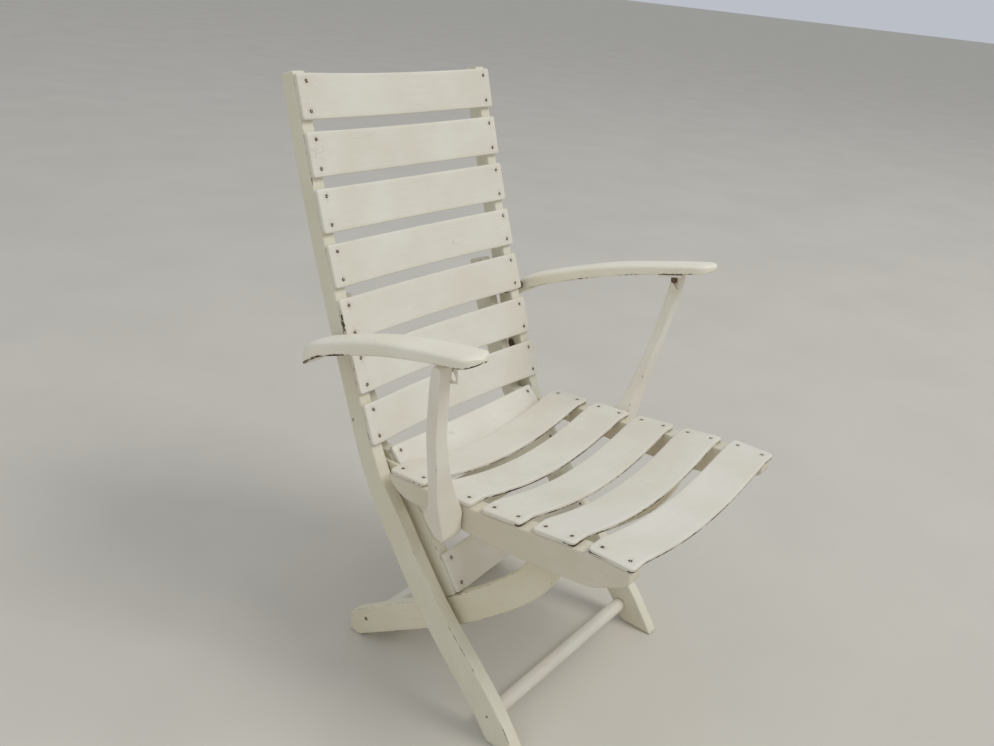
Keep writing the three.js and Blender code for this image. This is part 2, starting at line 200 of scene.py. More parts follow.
def box_centre(node: str) -> Vector:
    """Middle of a frame node's box."""
    low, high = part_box(node)
    return (low + high) / 2


def node_triangles(node: str) -> np.ndarray:
    """Reads the triangles of a frame node.

    Args:
        node: the frame node.

    Returns:
        Their corners, as an M x 3 x 3 array.
    """
    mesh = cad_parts[node].data
    places = np.zeros(len(mesh.vertices) * 3)
    mesh.vertices.foreach_get("co", places)
    mesh.calc_loop_triangles()
    corners = np.zeros(len(mesh.loop_triangles) * 3, np.int64)
    mesh.loop_triangles.foreach_get("vertices", corners)
    return places.reshape(-1, 3)[corners].reshape(-1, 3, 3)


def resampled(places: np.ndarray, known: np.ndarray, rows: np.ndarray) -> np.ndarray:
    """Each column of rows, given at the known places, read off at other places."""
    return np.stack([np.interp(places, known, column) for column in rows.T], axis=1)


# Boards.


def side_outline(node: str) -> np.ndarray:
    """Outline of a board seen from the side, read from the flat face at its largest X.

    The face's outer edges are those that only one of its triangles has. They are put in order by
    doubling jumps along the loop, so that holes, which are shorter loops, drop out.

    Args:
        node: the frame node, an outline drawn along X.

    Returns:
        Points (Y, Z) once round the outline, counter-clockwise.
    """
    tris = node_triangles(node)
    top = tris[:, :, 0].max()
    flat = tris[np.all(np.abs(tris[:, :, 0] - top) < FLAT_GAP, axis=1)][:, :, 1:]
    spots, index = np.unique(np.round(flat.reshape(-1, 2), 6), axis=0, return_inverse=True)
    index = index.reshape(-1, 3)
    starts = index.ravel()
    ends = np.roll(index, -1, axis=1).ravel()
    count = len(spots)
    single = ~np.isin(starts * count + ends, ends * count + starts)
    follow = np.arange(count)
    follow[starts[single]] = ends[single]
    first = int(np.argmin(spots[:, 1]))
    last = int(starts[single][ends[single] == first][0])
    jump = follow.copy()
    jump[last] = last
    steps = (jump != np.arange(count)).astype(np.int64)
    for _ in range(int(math.ceil(math.log2(count))) + 1):
        steps = steps + steps[jump]
        jump = jump[jump]
    on_loop = np.flatnonzero(jump == last)
    outline = spots[on_loop[np.argsort(-steps[on_loop])]]
    ys, zs = outline.T
    area = np.sum(ys * np.roll(zs, -1) - zs * np.roll(ys, -1))
    return outline if area > 0 else outline[::-1]


def eased_outline(outline: np.ndarray, step: float, softness: float) -> np.ndarray:
    """Outline at even steps with its corners rounded by a short moving average.

    Args:
        outline: closed outline points.
        step: distance between the new points.
        softness: spread of the average along the outline.

    Returns:
        The new closed outline.
    """
    closed = np.vstack([outline, outline[:1]])
    reach = np.concatenate([[0.0], np.cumsum(np.hypot(*np.diff(closed, axis=0).T))])
    count = max(LEAST_OUTLINE_POINTS, int(reach[-1] / step))
    at = np.linspace(0.0, reach[-1], count, endpoint=False)
    even = resampled(at, reach, closed)
    weights = np.exp(-0.5 * (np.minimum(at, reach[-1] - at) / softness) ** 2)
    weights /= weights.sum()
    spectrum = np.fft.fft(weights)[:, None]
    return np.real(np.fft.ifft(np.fft.fft(even, axis=0) * spectrum, axis=0))


def outline_normals(outline: np.ndarray) -> np.ndarray:
    """Inward unit normals of an outline, each square to the line between its two neighbours.

    Args:
        outline: closed counter-clockwise outline.

    Returns:
        One normal per point.
    """
    along = np.roll(outline, -1, axis=0) - np.roll(outline, 1, axis=0)
    along /= np.linalg.norm(along, axis=1, keepdims=True)
    return np.stack([-along[:, 1], along[:, 0]], axis=1)


def room_inside(outline: np.ndarray, inward: np.ndarray) -> np.ndarray:
    """Radius of the largest circle inside an outline that touches it at each point.

    A circle through point i with its centre along the normal n passes through point j when its
    radius is |d|^2 / (2 d.n), where d goes from i to j. The least such radius fits inside.

    Args:
        outline: closed outline.
        inward: its inward normals.

    Returns:
        One radius per point.
    """
    gap = outline[None, :, :] - outline[:, None, :]
    along = np.einsum("ijk,ik->ij", gap, inward)
    square = np.einsum("ijk,ijk->ij", gap, gap)
    ahead = along > LEAST_ALONG
    radius = square / (2 * np.where(ahead, along, LEAST_ALONG))
    return np.where(ahead, radius, 1.0).min(axis=1)


@dataclass(frozen=True)
class BoardShape:
    """How a board's edges are eased, with limits as shares of its width and its thickness."""

    radius: float = 2.8 * MM
    outline_step: float = 4.0 * MM
    softness: float = 3.0 * MM
    fade: float = 5.0 * MM
    arc_steps: int = 4
    room_share: float = 0.9
    thickness_share: float = 0.35
    face_wear: float = 0.45

    def build(self, name: str, node: str) -> Piece:
        """Board with eased edges, made from a frame node that is an outline drawn along X.

        A quarter-round profile is carried along the side outline at both faces. Each ring is the
        outline moved inwards by the profile's inset and placed at the profile's X.

        Args:
            name: the new piece's name.
            node: the frame node.

        Returns:
            The object.
        """
        outline = eased_outline(side_outline(node), self.outline_step, self.softness)
        inward = outline_normals(outline)
        room = room_inside(outline, inward) * self.room_share
        low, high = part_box(node)
        radius = min(self.radius, (high.x - low.x) * self.thickness_share)
        turn = np.linspace(0.0, math.pi / 2, self.arc_steps + 1)
        insets = np.concatenate([[radius + self.fade], radius * (1 - np.sin(turn))])
        depths = np.concatenate([[0.0], radius * (1 - np.cos(turn))])
        edge = np.concatenate([[0.0], self.face_wear + (1 - self.face_wear) * np.sin(2 * turn)])
        insets = np.concatenate([insets, insets[::-1]])
        edge = np.concatenate([edge, edge[::-1]])
        places = np.concatenate([low.x + depths, (high.x - depths)[::-1]])
        moved = np.minimum(insets[:, None], room[None, :])
        flat = outline[None] + inward[None] * moved[:, :, None]
        return ring_piece(name, along_x(places, flat), np.repeat(edge, len(outline)), 2)


# Armrests and supports.


def node_slices(
    node: str, axis: Vector, directions: Sequence[Vector], stations: np.ndarray
) -> np.ndarray:
    """Reach of a frame node in some directions, at planes across an axis.

    Every edge of the node that crosses a plane gives one point there.

    Args:
        node: the frame node.
        axis: direction that the planes stand across.
        directions: the measured directions.
        stations: where the planes stand along the axis.

    Returns:
        One row per plane: lowest and highest in each direction.
    """
    tris = node_triangles(node)
    ends = np.stack([tris, np.roll(tris, -1, axis=1)], axis=2).reshape(-1, 2, 3)
    level = ends @ np.array(axis)
    near, far = level[:, 0][None, :], level[:, 1][None, :]
    planes = stations[:, None]
    cross = (near - planes) * (far - planes) <= 0
    span = np.where(np.abs(far - near) < LEAST_SPAN, LEAST_SPAN, far - near)
    share = np.clip((planes - near) / span, 0.0, 1.0)
    columns = []
    for direction in directions:
        reach = ends @ np.array(direction)
        value = reach[:, 0][None, :] * (1 - share) + reach[:, 1][None, :] * share
        columns.append(np.where(cross, value, np.inf).min(axis=1))
        columns.append(np.where(cross, value, -np.inf).max(axis=1))
    return np.stack(columns, axis=1)


def smoothed(stations: np.ndarray, rows: np.ndarray, spread: float) -> np.ndarray:
    """Gaussian mean of each column over a distance, with the curve turned about its end points.

    Args:
        stations: rising places of the rows, in metres.
        rows: values at the stations, one column per quantity.
        spread: distance over which the weight falls to 1/e, in metres.

    Returns:
        The smoothed rows at the same stations.
    """
    fine = np.linspace(stations[0], stations[-1], SMOOTHING_STEPS)
    values = resampled(fine, stations, rows)
    step = fine[1] - fine[0]
    reach = int(math.ceil(SMOOTHING_REACH * spread / step))
    kernel = np.exp(-((np.arange(-reach, reach + 1) * step / spread) ** 2))
    kernel /= kernel.sum()
    head = 2 * values[0] - values[reach:0:-1]
    tail = 2 * values[-1] - values[-2 : -reach - 2 : -1]
    padded = np.concatenate([head, values, tail])
    means = [np.convolve(column, kernel, mode="valid") for column in padded.T]
    return resampled(stations, fine, np.stack(means, axis=1))


@dataclass(frozen=True)
class BarShape:
    """A sliced bar's section powers, round ends, smoothing and wear."""

    upper_power: float
    lower_power: float
    start_round: float
    end_round: float
    around: int
    spread: float
    lower_edge_weight: float
    end_gap: float = 0.2 * MM
    end_steps: int = 13
    middle_steps: int = 48
    end_power: float = 2.6
    least_swell: float = 0.0001
    tip_width: float = 0.25
    tip_wear: float = 0.6
    corner_wear: float = 0.1
    corner_power: float = 3.0
    lower_wear_power: float = 0.28

    def rings(self, low: float, high: float) -> tuple[np.ndarray, np.ndarray]:
        """Places of the rings, close together in both round ends, and their swell.

        The swell is (1 - (1 - g)^p)^(1/p), where g goes from 0 at a tip to 1 past its round end.

        Args:
            low: where the bar starts along its axis.
            high: where it ends.

        Returns:
            Rising places, and the share of its full height that each ring has.
        """
        ease = 0.5 - 0.5 * np.cos(np.linspace(0.0, math.pi, self.end_steps))
        start = low + self.start_round * ease[:-1]
        middle = np.linspace(low + self.start_round, high - self.end_round, self.middle_steps)
        finish = high - self.end_round * ease[::-1][1:]
        places = np.concatenate([start, middle, finish])
        from_start = np.clip((places - low) / self.start_round, 0.0, 1.0)
        from_end = np.clip((high - places) / self.end_round, 0.0, 1.0)
        left = (1 - np.minimum(from_start, from_end)) ** self.end_power
        return places, np.clip(1 - left, self.least_swell, 1.0) ** (1 / self.end_power)

    def wear(self, turn: np.ndarray, swell: np.ndarray) -> np.ndarray:
        """Edge mask: strong along the two lower corners, weak at the upper ones and the tips.

        Args:
            turn: the angles round a ring.
            swell: the rings' shares of the full height.

        Returns:
            One value from 0 to 1 for each point of each ring.
        """
        corner = self.corner_wear * np.abs(np.sin(2 * turn)) ** self.corner_power
        below = np.clip(-np.sin(2 * turn) * np.sign(np.cos(turn)), 0.0, 1.0)
        edge = corner + self.lower_edge_weight * below**self.lower_wear_power
        tips = (1 - swell) * self.tip_wear
        return np.clip(np.maximum(edge[None, :], tips[:, None]), 0.0, 1.0)

    def build(self, name: str, node: str, axis: Vector, first: Vector, second: Vector) -> Piece:
        """Rounded bar that fills a frame node, made of superellipse rings along an axis.

        Each ring is centred in the node's slice there. Its points lie at half sizes times
        sign(cos t) |cos t|^(2/p) and sign(sin t) |sin t|^(2/p). Near both ends its height shrinks
        to nothing and its width to a blunt tip.

        Args:
            name: the new piece's name.
            node: the frame node.
            axis: direction of the bar.
            first: direction of the section's width.
            second: direction of the section's height.

        Returns:
            The object.
        """
        level = node_triangles(node).reshape(-1, 3) @ np.array(axis)
        places, swell = self.rings(level.min() + self.end_gap, level.max() - self.end_gap)
        slices = node_slices(node, axis, (first, second), places)
        low_1, high_1, low_2, high_2 = smoothed(places, slices, self.spread).T
        half_1 = (high_1 - low_1) / 2 * (self.tip_width + (1 - self.tip_width) * swell)
        half_2 = (high_2 - low_2) / 2 * swell
        turn = np.linspace(0.0, 2 * math.pi, self.around, endpoint=False)
        cosine, sine = np.cos(turn), np.sin(turn)
        power = np.where(sine > 0, 2.0 / self.upper_power, 2.0 / self.lower_power)
        wide = np.sign(cosine) * np.abs(cosine) ** power
        tall = np.sign(sine) * np.abs(sine) ** power
        off_1 = ((low_1 + high_1) / 2)[:, None] + half_1[:, None] * wide
        off_2 = ((low_2 + high_2) / 2)[:, None] + half_2[:, None] * tall
        rings = places[:, None, None] * np.array(axis) + off_1[:, :, None] * np.array(first)
        rings = rings + off_2[:, :, None] * np.array(second)
        return ring_piece(name, rings, self.wear(turn, swell))


# Slats.


@dataclass(frozen=True)
class SlatPlace:
    """Where a bent slat lies, read from its frame node."""

    centre: np.ndarray
    along: np.ndarray
    out: np.ndarray
    width: float
    thickness: float
    half: float
    span: float
    bow: float

    @property
    def middle(self) -> float:
        """Height of the slat's middle plane over its lower face."""
        return self.thickness / 2

    def bend(self, xs: np.ndarray | float, power: float) -> np.ndarray | float:
        """Height of the bow at places along X: -bow (1 - (x / span)^2)^power."""
        return -self.bow * (1 - np.clip(np.abs(xs) / self.span, 0.0, 1.0) ** 2) ** power


def read_slat(node: str) -> SlatPlace:
    """Finds a slat's place, directions, sizes and bow from its end and middle sections.

    Args:
        node: the frame node.

    Returns:
        Its place.
    """
    spots = node_triangles(node).reshape(-1, 3)
    half = spots[:, 0].max()
    end = np.unique(np.round(spots[spots[:, 0] > half - SECTION_GAP][:, 1:], 5), axis=0)
    centre = end.mean(axis=0)
    along = np.linalg.svd(end - centre)[2][0]
    out = np.array([-along[1], along[0]])
    core = (spots[np.abs(spots[:, 0]) < SECTION_GAP][:, 1:] - centre) @ out
    drop = core.max() + core.min()
    if drop > 0:
        out = -out
    width, thickness = (float(np.ptp((end - centre) @ way)) for way in (along, out))
    span = float(np.unique(np.round(spots[:, 0], 5))[-2])
    bow = float(abs(drop) / 2)
    return SlatPlace(centre, along, out, width, thickness, float(half), span, bow)


def fall_back(from_end: np.ndarray, radius: float) -> np.ndarray:
    """How far a quarter circle stands back from its tangent: r - sqrt(r^2 - (r - d)^2).

    Args:
        from_end: the distances d from its end.
        radius: its radius r.

    Returns:
        One distance per place, nothing where d is over r.
    """
    past = np.clip(radius - from_end, 0.0, None)
    return radius - np.sqrt(np.clip(radius**2 - past**2, 0.0, None))


@dataclass(frozen=True)
class SlatShape:
    """A slat's rounding, screw seats, wear and rows of points; the reaches are in sink radii."""

    edge_radius: float = 2.4 * MM
    corner_radius: float = 4.5 * MM
    fade: float = 4.0 * MM
    sink_radius: float = 4.4 * MM
    sink_depth: float = 0.9 * MM
    sink_rim: float = 1.15
    screw_spacing: float = 44.0 * MM
    bow_power: float = 1.12
    wear_radius: float = 8.0 * MM
    # The lower edges weigh more than the upper ones: their darker chips are partly real wear,
    # partly painted contact shade under each slat.
    lower_edge_weight: float = 1.0
    upper_wear: float = 0.85
    seat_reach: float = 1.25
    seat_columns: int = 12
    seat_rows: int = 11
    plain_reach: float = 1.4
    plain_columns: int = 22
    plain_rows: int = 7
    corner_columns: int = 9
    edge_rows: int = 4

    def stations(self, place: SlatPlace, screw_x: float) -> np.ndarray:
        """Places along a slat: close together at its screws and rounded ends.

        Args:
            place: where the slat lies.
            screw_x: distance of the screws from the middle.

        Returns:
            Rising places along X, the same on both sides.
        """
        seat = np.linspace(-self.seat_reach, self.seat_reach, self.seat_columns)
        turn = np.linspace(0, math.pi / 2, self.corner_columns)
        plain_end = screw_x - self.plain_reach * self.sink_radius
        plain = np.linspace(0.0, plain_end, self.plain_columns)
        fade = [place.half - self.corner_radius - self.fade]
        corner = place.half - self.corner_radius * (1 - np.sin(turn))
        half_row = np.concatenate([plain, screw_x + seat * self.sink_radius, fade, corner])
        half_row = np.unique(np.round(half_row[half_row <= place.half + LEAST_SPAN], 6))
        return np.concatenate([-half_row[::-1], half_row[1:]])

    def profile(self, place: SlatPlace) -> tuple[np.ndarray, np.ndarray, np.ndarray]:
        """Section of a slat: a rectangle with quarter-round edges, once round from the top face.

        Args:
            place: where the slat lies.

        Returns:
            Offsets across the slat and out of it, and the edge mask.
        """
        radius, half = self.edge_radius, place.width / 2
        inner = half - radius
        low, high = radius, place.thickness - radius
        seat = np.linspace(-self.seat_reach, self.seat_reach, self.seat_rows) * self.sink_radius
        plain = np.linspace(-inner + self.fade, inner - self.fade, self.plain_rows)
        screw_row = self.screw_spacing / 2
        top = np.concatenate([plain, screw_row + seat, -screw_row + seat, [inner], [-inner]])
        top = np.unique(np.round(top, 6))[::-1]
        bottom = np.linspace(-inner, inner, self.plain_rows)
        turn = np.linspace(0.0, math.pi / 2, self.edge_rows)[1:-1]
        sine, cosine = radius * np.sin(turn), radius * np.cos(turn)
        runs = [
            (top, np.full(len(top), place.thickness)),
            (-inner - sine, high + cosine),
            ([-half, -half], [high, low]),
            (-inner - cosine, low - sine),
            (bottom, np.zeros(len(bottom))),
            (inner + sine, low - cosine),
            ([half, half], [low, high]),
            (inner + cosine, high + sine),
        ]
        across, out = np.concatenate([np.stack(run) for run in runs], axis=1)
        edge = np.clip(1 - (half - np.abs(across)) / (radius + self.fade), 0.0, 1.0)
        # More weight on the lower edges: partly real wear, partly painted contact shade.
        return across, out, edge * np.where(out < place.middle, self.lower_edge_weight, self.upper_wear)

    def build(self, name: str, place: SlatPlace, screw_x: float) -> Piece:
        """Bent slat with rounded edges, rounded corners and countersunk screw seats.

        The rounded section is carried along X. It drops by the bow there, its width follows the
        corner's circle near the ends, and its top face sinks as a cone round each screw.

        Args:
            name: the piece's name.
            place: where the slat lies.
            screw_x: distance of the screws from the middle.

        Returns:
            The object, with its screw mask too.
        """
        stations = self.stations(place, screw_x)
        across, out, edge = self.profile(place)
        from_end = place.half - np.abs(stations)
        narrow = 1 - fall_back(from_end, self.corner_radius) / (place.width / 2)
        flat = 1 - fall_back(from_end, self.edge_radius) / place.middle
        wide = across[None, :] * narrow[:, None]
        high = place.middle + (out[None, :] - place.middle) * flat[:, None]
        on_top = out[None, :] > place.thickness - TOP_GAP
        screw_rows = np.array([-1.0, 1.0]) * self.screw_spacing / 2
        from_screw = np.abs(stations)[:, None, None] - screw_x
        gap = np.hypot(from_screw, wide[:, :, None] - screw_rows).min(axis=2)
        sink = self.sink_depth * np.clip(self.sink_rim - gap / self.sink_radius, 0.0, 1.0)
        high = high - np.where(on_top, sink, 0.0)
        rise = high + place.bend(stations, self.bow_power)[:, None] - place.middle
        side = place.centre + wide[:, :, None] * place.along + rise[:, :, None] * place.out
        end_edge = np.clip(1 - from_end / (self.edge_radius + self.fade), 0.0, 1.0)
        mask = np.maximum(edge[None, :], end_edge[:, None])
        piece = ring_piece(name, along_x(stations, side), mask)
        set_attribute(piece, SCREW, np.clip(1 - gap / self.wear_radius, 0.0, 1.0) * on_top)
        return piece


# Screws.


@dataclass(frozen=True)
class ScrewSpot:
    """One screw: the middle of its head, its outward direction and the turn of its slot."""

    at: Vec3
    out: Vec3
    turn: float


@dataclass(frozen=True)
class ScrewShape:
    """A slotted countersunk head; the angles place its columns from slot to rim."""

    radius: float = 3.9 * MM
    dome: float = 0.35 * MM
    depth: float = 2.2 * MM
    slot_width: float = 1.0 * MM
    slot_depth: float = 0.7 * MM
    slot_walls: Pair = (0.95, 1.05)
    slot_angle: float = 1.25
    rim_angle: float = 0.06
    columns: int = 5
    rows: int = 7
    taper: float = 0.7
    sharp_angle: float = math.radians(35)

    def head(self) -> tuple[np.ndarray, list[list[int]]]:
        """One head that faces +Z.

        It is a stack of rings across its slot. At a place u the ring spans the chord
        sqrt(R^2 - u^2); its upper half is a low dome with the slot cut out, its lower half a cone.

        Returns:
            Its places and its faces.
        """
        slot = self.slot_width / 2
        angles = np.linspace(self.slot_angle, self.rim_angle, self.columns)
        half_row = np.concatenate([slot * np.array(self.slot_walls), self.radius * np.cos(angles)])
        columns = np.concatenate([-half_row[::-1], half_row])
        chord = np.sqrt(np.clip(self.radius**2 - columns**2, 0.0, None))
        top_y = chord[:, None] * np.linspace(-1.0, 1.0, self.rows)[None, :]
        away = (columns[:, None] ** 2 + top_y**2) / self.radius**2
        cut = np.where(np.abs(columns)[:, None] < slot, self.slot_depth, 0.0)
        top_z, low_z = self.dome * (1 - away) - cut, np.full(top_y.shape, -self.depth)
        ys = np.concatenate([top_y, top_y[:, ::-1] * self.taper], axis=1)
        zs = np.concatenate([top_z, low_z], axis=1)
        rings = along_x(columns, np.stack([ys, zs], axis=2))
        return rings.reshape(-1, 3), ring_faces(*rings.shape[:2])

    def build(self, name: str, spots: Sequence[ScrewSpot]) -> Piece:
        """All the screw heads of a sub-assembly as one piece.

        Args:
            name: the piece's name.
            spots: where the heads are.

        Returns:
            The object.
        """
        head, faces = self.head()
        clouds, lists = [], []
        for number, spot in enumerate(spots):
            turned = Matrix.Rotation(spot.turn, 3, "Z")
            aim = Vector(spot.out).normalized().to_track_quat("Z", "Y").to_matrix()
            clouds.append(head @ np.array(aim @ turned).T + np.array(spot.at))
            shift = number * len(head)
            lists.extend([[corner + shift for corner in face] for face in faces])
        piece = make_mesh(name, np.concatenate(clouds), lists)
        face_outwards(piece)
        piece.data.set_sharp_from_angle(angle=self.sharp_angle)
        return piece


def face_screws(stem: str, places: Sequence[Pair], turn: float, sink: float) -> list[ScrewSpot]:
    """Screws in the outer faces of a left and a right board.

    Args:
        stem: the boards' name without the side.
        places: (Y, Z) of the screws.
        turn: turn of the first screw's slot; each next one is turned a radian more.
        sink: how deep the heads sit.

    Returns:
        The screws of both sides.
    """
    spots = []
    for side in Side:
        low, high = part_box(f"{stem}_{side.word}")
        face = high.x if side is Side.LEFT else low.x
        for number, (y, z) in enumerate(places):
            at = (face - side.value * sink, y, z)
            spots.append(ScrewSpot(at, (side.value, 0.0, 0.0), turn + number))
    return spots


# Finishes.


def from_srgb(red: int, green: int, blue: int) -> Vec3:
    """Linear colour of an sRGB one: c / 12.92 when dark, else ((c + 0.055) / 1.055)^2.4.

    Args:
        red: from 0 to 255.
        green: from 0 to 255.
        blue: from 0 to 255.

    Returns:
        The linear colour, from 0 to 1.
    """
    share = np.array([red, green, blue]) / 255.0
    low, high = share / 12.92, ((share + 0.055) / 1.055) ** 2.4
    return tuple(float(v) for v in np.where(share <= 0.04045, low, high))


@dataclass(frozen=True)
class Speckle:
    """A fractal noise, with the scale of each axis where it is stretched."""

    scale: float
    detail: float
    rough: float
    stretch: Vec3 | None = None


FIBRE = Speckle(1.0, 5.0, 0.6, stretch=(7.0, 210.0, 210.0))
BRUSH = Speckle(1.0, 3.0, 0.5, stretch=(14.0, 420.0, 420.0))
BROAD_TONE = Speckle(9.0, 3.0, 0.5)
CHIP_PATCH = Speckle(14.0, 2.0, 0.5)
CHIP_CRUMB = Speckle(1.0, 6.0, 0.65, stretch=(90.0, 240.0, 240.0))
CRACK_BEND = Speckle(26.0, 2.0, 0.5)
CRACK_GATE = Speckle(17.0, 3.0, 0.6)
STAIN_SPECK = Speckle(300.0, 4.0, 0.6)
RUST_BLOTCH = Speckle(260.0, 4.0, 0.6)
RUST_GRAIN = Speckle(1400.0, 3.0, 0.6)
FLOOR_CLOUD = Speckle(2.2, 4.0, 0.55)


class Graph:
    """Short calls for making shader nodes in one tree."""

    def __init__(self, tree: bpy.types.NodeTree) -> None:
        """Keeps the tree that the nodes go into."""
        self.tree = tree

    def fill(self, node: bpy.types.Node, inputs: dict[int | str, object]) -> None:
        """Links a node's inputs to sockets, or sets their numbers and colours.

        Args:
            node: the node.
            inputs: a socket, number, vector or colour for each index or name.
        """
        for key, value in inputs.items():
            socket = node.inputs[key]
            if isinstance(value, Socket):
                self.tree.links.new(value, socket)
            else:
                socket.default_value = (*value, 1.0) if socket.type == "RGBA" else value

    def node(
        self, kind: str, inputs: dict[int | str, object] | None = None, **settings: object
    ) -> bpy.types.Node:
        """Adds a node.

        Args:
            kind: the node's type.
            inputs: what goes into its inputs.
            **settings: its options.

        Returns:
            The node.
        """
        made = self.tree.nodes.new(kind)
        for name, value in settings.items():
            setattr(made, name, value)
        self.fill(made, inputs or {})
        return made

    def maths(self, kind: str, first: object, second: object) -> Socket:
        """Result of one Math node of a kind on two values."""
        return self.node("ShaderNodeMath", {0: first, 1: second}, operation=kind).outputs[0]

    def weighted(self, *parts: tuple[Socket, float]) -> Socket:
        """Sum of values, each times its weight.

        Args:
            *parts: pairs of a value and its weight.

        Returns:
            The sum.
        """
        total, *others = [self.maths("MULTIPLY", value, weight) for value, weight in parts]
        for other in others:
            total = self.maths("ADD", total, other)
        return total

    def between(
        self, value: object, low: float, high: float, to_low: float = 0.0, to_high: float = 1.0
    ) -> Socket:
        """Smooth step of a value between two limits, from one result to another."""
        inputs = dict(enumerate((value, low, high, to_low, to_high)))
        return self.node("ShaderNodeMapRange", inputs, interpolation_type="SMOOTHSTEP").outputs[0]

    def mix(self, share: object, first: object, second: object) -> Socket:
        """Mix of two sockets or colours, with the share of the second one."""
        inputs = {MIX_SHARE: share, MIX_FIRST: first, MIX_SECOND: second}
        return self.node("ShaderNodeMix", inputs, data_type="RGBA").outputs[MIX_RESULT]

    def stretched(self, vector: object, scale: Vec3, turn: Vec3 = (0, 0, 0)) -> Socket:
        """A vector turned and then scaled along each axis."""
        turned = self.node("ShaderNodeMapping", {0: vector, "Rotation": turn}).outputs[0]
        return self.node("ShaderNodeMapping", {0: turned, "Scale": scale}).outputs[0]

    def noise(self, vector: object, speckle: Speckle, output: int | str = 0) -> Socket:
        """Fractal noise, from 0 to 1.

        Args:
            vector: the place.
            speckle: its scale, detail and roughness.
            output: the output that is read, the plain value at first.

        Returns:
            The noise.
        """
        if speckle.stretch:
            vector = self.stretched(vector, speckle.stretch)
        inputs = {"Vector": vector, "Scale": speckle.scale}
        inputs |= {"Detail": speckle.detail, "Roughness": speckle.rough}
        return self.node("ShaderNodeTexNoise", inputs).outputs[output]

    def bump(self, height: Socket, strength: float, distance: float) -> Socket:
        """Normal of a surface whose bumps have a strength and a depth in metres."""
        inputs = {"Height": height, "Strength": strength, "Distance": distance}
        return self.node("ShaderNodeBump", inputs).outputs[0]

    def attribute(self, name: str) -> Socket:
        """A mask that was stored on the mesh."""
        return self.node("ShaderNodeAttribute", attribute_name=name).outputs["Fac"]


def start_group(
    name: str, inputs: Sequence[tuple[str, str]], outputs: Sequence[str]
) -> tuple[Graph, bpy.types.NodeOutputs, bpy.types.Node]:
    """Makes an empty shader group with named sockets.

    Args:
        name: the group's name.
        inputs: pairs of a socket's name and kind.
        outputs: names of the value outputs.

    Returns:
        Its graph, what is given to it, and its output node.
    """
    tree = bpy.data.node_groups.new(name, "ShaderNodeTree")
    for label, kind in inputs:
        tree.interface.new_socket(label, in_out="INPUT", socket_type=kind)
    for label in outputs:
        tree.interface.new_socket(label, in_out="OUTPUT", socket_type=FLOAT)
    graph = Graph(tree)
    return graph, graph.node("NodeGroupInput").outputs, graph.node("NodeGroupOutput")


def painted_grain_group() -> bpy.types.NodeTree:
    """Wood grain that tells through paint: long streaks along X, with brush marks over them.

    Returns:
        The group.
    """
    graph, given, out = start_group("painted_grain", [("Vector", VECTOR)], ["Height", "Tone"])
    place = given["Vector"]
    fibre, brush = graph.noise(place, FIBRE), graph.noise(place, BRUSH)
    height = graph.weighted((fibre, 0.7), (brush, 0.3))
    tone = graph.weighted((graph.noise(place, BROAD_TONE), 0.75), (fibre, 0.25))
    graph.fill(out, {"Height": height, "Tone": tone})
    return graph.tree


def edge_chip_group() -> bpy.types.NodeTree:
    """Paint chipped off along edges: the edge mask broken up by coarse and fine noise.

    The wear is 0.55 edge^1.6, 0.55 patches, 0.5 crumbs and 0.3 amount together. Paint is off where
    it is high, and thin just below that.

    Returns:
        The group.
    """
    off, thin, beside_edge = (1.19, 1.23), (1.05, 1.2), (0.02, 0.3)
    sockets = [("Vector", VECTOR), ("Edge", FLOAT), ("Amount", FLOAT)]
    graph, given, out = start_group("edge_chips", sockets, ["Mask", "Rim"])
    place, edge = given["Vector"], given["Edge"]
    wear = graph.weighted(
        (graph.maths("POWER", edge, 1.6), 0.55),
        (graph.noise(place, CHIP_PATCH), 0.55),
        (graph.noise(place, CHIP_CRUMB), 0.5),
        (given["Amount"], 0.3),
    )
    near = graph.between(edge, *beside_edge)
    for label, limits in (("Mask", off), ("Rim", thin)):
        graph.fill(out, {label: graph.maths("MULTIPLY", graph.between(wear, *limits), near)})
    return graph.tree


def hairline_group() -> bpy.types.NodeTree:
    """Fine cracks and scratches: thin lines where stretched cells meet, broken up by noise.

    Returns:
        The group.
    """
    line_width, gate_limits = (0.003, 0.01), (0.55, 0.66)
    bend_size, cell_stretch = 0.02, (3.5, 34.0, 34.0)
    graph, given, out = start_group("hairlines", [("Vector", VECTOR), ("Amount", FLOAT)], ["Mask"])
    place = given["Vector"]
    wave = {0: graph.noise(place, CRACK_BEND, "Color"), "Scale": bend_size}
    soft = graph.node("ShaderNodeVectorMath", wave, operation="SCALE")
    bend = graph.node("ShaderNodeVectorMath", {0: place, 1: soft.outputs[0]}, operation="ADD")
    net = {"Vector": graph.stretched(bend.outputs[0], cell_stretch), "Scale": 1.0}
    cells = graph.node("ShaderNodeTexVoronoi", net, feature="DISTANCE_TO_EDGE")
    line = graph.between(cells.outputs["Distance"], *line_width, 1.0, 0.0)
    gate = graph.between(graph.noise(place, CRACK_GATE), *gate_limits)
    line = graph.maths("MULTIPLY", line, gate)
    graph.fill(out, {"Mask": graph.maths("MULTIPLY", line, given["Amount"])})
    return graph.tree


def rust_group() -> bpy.types.NodeTree:
    """Rust on old steel: blotches with grains in them.

    Returns:
        The group.
    """
    rusted = (0.4, 0.62)
    graph, given, out = start_group("rust", [("Vector", VECTOR)], ["Mask", "Height"])
    blotch, grain = (graph.noise(given["Vector"], each) for each in (RUST_BLOTCH, RUST_GRAIN))
    spread = graph.weighted((blotch, 0.7), (grain, 0.3))
    graph.fill(out, {"Mask": graph.between(spread, *rusted), "Height": grain})
    return graph.tree


GROUPS = {
    "grain": painted_grain_group(),
    "chips": edge_chip_group(),
    "hairlines": hairline_group(),
    "rust": rust_group(),
}


def placed_group(graph: Graph, name: str, **values: object) -> bpy.types.NodeOutputs:
    """Adds one of the shared groups with values for its inputs, and gives its outputs."""
    return graph.node("ShaderNodeGroup", values, node_tree=GROUPS[name]).outputs


